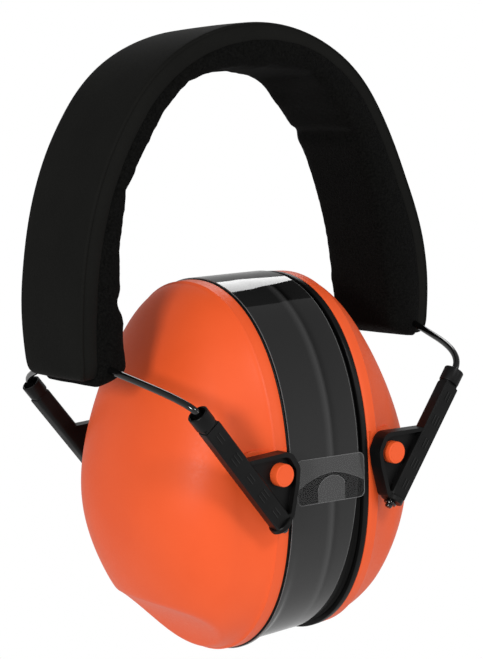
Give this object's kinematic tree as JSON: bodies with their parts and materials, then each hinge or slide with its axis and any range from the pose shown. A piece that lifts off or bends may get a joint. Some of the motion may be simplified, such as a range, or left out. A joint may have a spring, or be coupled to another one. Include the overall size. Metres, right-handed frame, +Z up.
{
  "type": "earmuff hearing protector",
  "caption": "Low-profile earmuff hearing protector: padded spring-wire headband, stirrup arms sliding on the wires, oval moulded cups with cushions held shut by a clear display film.",
  "frame": {"origin": "the inner face of the headband pad at its crown, where it rests on top of the head", "axes": "+Z up, +X towards the wearer's right cup, +Y towards the back of the head"},
  "size_m": [0.127, 0.087, 0.1757],
  "materials": {
    "orange_plastic": "satin moulded plastic",
    "black_plastic": "satin moulded plastic",
    "pad_cover": "smooth coated fabric",
    "fleece": "brushed fleece",
    "foam": "open-cell foam",
    "vinyl": "soft vinyl skin",
    "spring_wire": "black coated spring steel",
    "crimp_steel": "bright crimped steel",
    "clear_film": "clear glossy plastic film"
  },
  "bodies": {
    "left_half": {"headband_cover_left": "pad_cover", "headband_liner_left": "fleece", "headband_foam_left": "foam", "pad_end_foam_left": "foam", "wire_spreader_left": "black_plastic", "left_front_wire": "spring_wire", "left_rear_wire": "spring_wire", "left_front_wire_stop": "crimp_steel", "left_rear_wire_stop": "crimp_steel"},
    "left_front_arm": {"left_front_arm": "black_plastic", "left_front_guide_bush": "black_plastic"},
    "left_rear_arm": {"left_rear_arm": "black_plastic", "left_rear_guide_bush": "black_plastic"},
    "left_cup": {"left_cup_shell": "orange_plastic", "left_seal_plate": "black_plastic", "left_cushion_cover": "vinyl", "left_cushion_foam": "foam", "left_damping_foam": "foam", "display_band": "clear_film", "display_band_tab": "clear_film"},
    "right_half": {"headband_cover_right": "pad_cover", "headband_liner_right": "fleece", "headband_foam_right": "foam", "pad_end_foam_right": "foam", "wire_spreader_right": "black_plastic", "right_front_wire": "spring_wire", "right_rear_wire": "spring_wire", "right_front_wire_stop": "crimp_steel", "right_rear_wire_stop": "crimp_steel"},
    "right_front_arm": {"right_front_arm": "black_plastic", "right_front_guide_bush": "black_plastic"},
    "right_rear_arm": {"right_rear_arm": "black_plastic", "right_rear_guide_bush": "black_plastic"},
    "right_cup": {"right_cup_shell": "orange_plastic", "right_seal_plate": "black_plastic", "right_cushion_cover": "vinyl", "right_cushion_foam": "foam", "right_damping_foam": "foam"}
  },
  "joints": [
    {"name": "headband_spread", "type": "hinge", "parent": "left_half", "child": "right_half", "pos_m": [0, 0, 0.012], "axis": [0, -1, 0], "range_deg": [0, 50], "stiffness_Nm_per_rad": 0.9, "springref_deg": -20.05},
    {"name": "left_front_height", "type": "slide", "parent": "left_half", "child": "left_front_arm", "axis": [0.6129, 0, -0.7902], "range_m": [0, 0.015], "deforming": ["left_cushion_cover", "left_cushion_foam", "right_cushion_cover", "right_cushion_foam", "display_band", "display_band_tab"]},
    {"name": "left_rear_height", "type": "slide", "parent": "left_half", "child": "left_rear_arm", "axis": [0.6129, 0, -0.7902], "range_m": [0, 0.015]},
    {"name": "right_front_height", "type": "slide", "parent": "right_half", "child": "right_front_arm", "axis": [-0.6129, 0, -0.7902], "range_m": [0, 0.015]},
    {"name": "right_rear_height", "type": "slide", "parent": "right_half", "child": "right_rear_arm", "axis": [-0.6129, 0, -0.7902], "range_m": [0, 0.015]},
    {"name": "left_cup_tilt", "type": "hinge", "parent": "left_front_arm", "child": "left_cup", "pos_m": [-0.02, -0.0405, -0.1071], "axis": [0, -1, 0], "range_deg": [0, 25]},
    {"name": "right_cup_tilt", "type": "hinge", "parent": "right_front_arm", "child": "right_cup", "pos_m": [0.02, -0.0405, -0.1071], "axis": [0, 1, 0], "range_deg": [0, 25]}
  ],
  "couplings": [
    {"joint": "left_rear_height", "follows": "left_front_height", "ratio": 1},
    {"joint": "right_front_height", "follows": "left_front_height", "ratio": 1},
    {"joint": "right_rear_height", "follows": "left_front_height", "ratio": 1},
    {"joint": "left_cup_tilt", "follows": "headband_spread", "ratio": 0.5},
    {"joint": "right_cup_tilt", "follows": "headband_spread", "ratio": 0.5}
  ]
}
